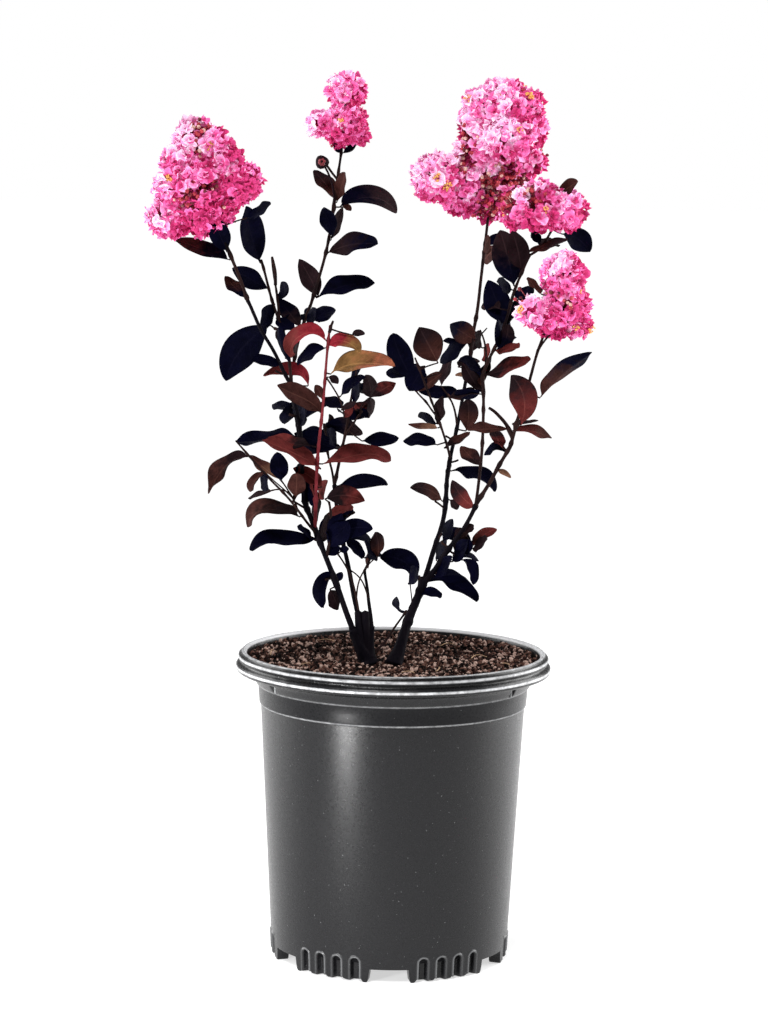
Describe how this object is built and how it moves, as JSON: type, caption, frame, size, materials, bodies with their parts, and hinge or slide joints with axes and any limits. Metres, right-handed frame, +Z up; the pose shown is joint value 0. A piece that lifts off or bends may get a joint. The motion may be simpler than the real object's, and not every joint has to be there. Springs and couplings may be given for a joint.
{
  "type": "potted flowering tree",
  "caption": "Young multi-stemmed flowering tree with near-black leaves and pink blossom clusters, growing from bark mix in a round plastic nursery pot.",
  "frame": {"origin": "centre of the pot's underside, on its flat foot pad", "axes": "+Z up along the pot's axis; +X to the right and +Y to the back as the plant is seen from its front"},
  "size_m": [0.3205, 0.23, 0.6453],
  "materials": {
    "pot": "satin",
    "soil": "rough bark crumbs",
    "bark": "matt",
    "leaf_dark": "satin leaf",
    "leaf_brown": "satin leaf",
    "leaf_red": "satin leaf",
    "blossom": "matt petals"
  },
  "bodies": {
    "root": {"pot": "pot", "soil": "soil", "trunk_left": "bark", "trunk_right": "bark", "bough_left_lower": "bark", "bough_second": "bark", "bough_third": "bark", "bough_left_middle": "bark", "bough_left_upper": "bark", "bough_middle_lower": "bark", "bough_right_lower": "bark", "bough_right_middle": "bark", "bough_right_outer": "bark", "foliage_left_inner": "leaf_dark", "foliage_left_large": "leaf_dark", "foliage_left_foot": "leaf_dark", "foliage_left_low": "leaf_dark", "foliage_left_elbow": "leaf_brown", "foliage_far_left": "leaf_brown", "foliage_left_bend": "leaf_dark", "foliage_left_knot": "leaf_brown", "foliage_left_wing": "leaf_dark", "blossom_left": "blossom", "foliage_left_cluster": "leaf_dark", "foliage_middle_stem": "leaf_dark", "blossom_middle": "blossom", "foliage_young": "leaf_red", "foliage_second_low": "leaf_dark", "foliage_second_crest": "leaf_dark", "foliage_second_side": "leaf_dark", "foliage_third": "leaf_brown", "foliage_low_centre": "leaf_dark", "foliage_right_foot": "leaf_dark", "foliage_right_spur": "leaf_dark", "foliage_right_wing": "leaf_brown", "foliage_right_hand": "leaf_dark", "foliage_right_front": "leaf_dark", "foliage_right_small": "leaf_dark", "foliage_right_upper": "leaf_brown", "blossom_right": "blossom", "foliage_outer_foot": "leaf_dark", "foliage_outer_low": "leaf_brown", "foliage_outer_inner": "leaf_dark", "foliage_outer_stem": "leaf_brown", "foliage_outer_high": "leaf_brown", "blossom_outer": "blossom", "foliage_centre_stem": "leaf_brown", "foliage_centre_high": "leaf_dark", "blossom_low": "blossom", "foliage_back_left": "leaf_dark", "foliage_back_right": "leaf_dark"}
  },
  "joints": []
}
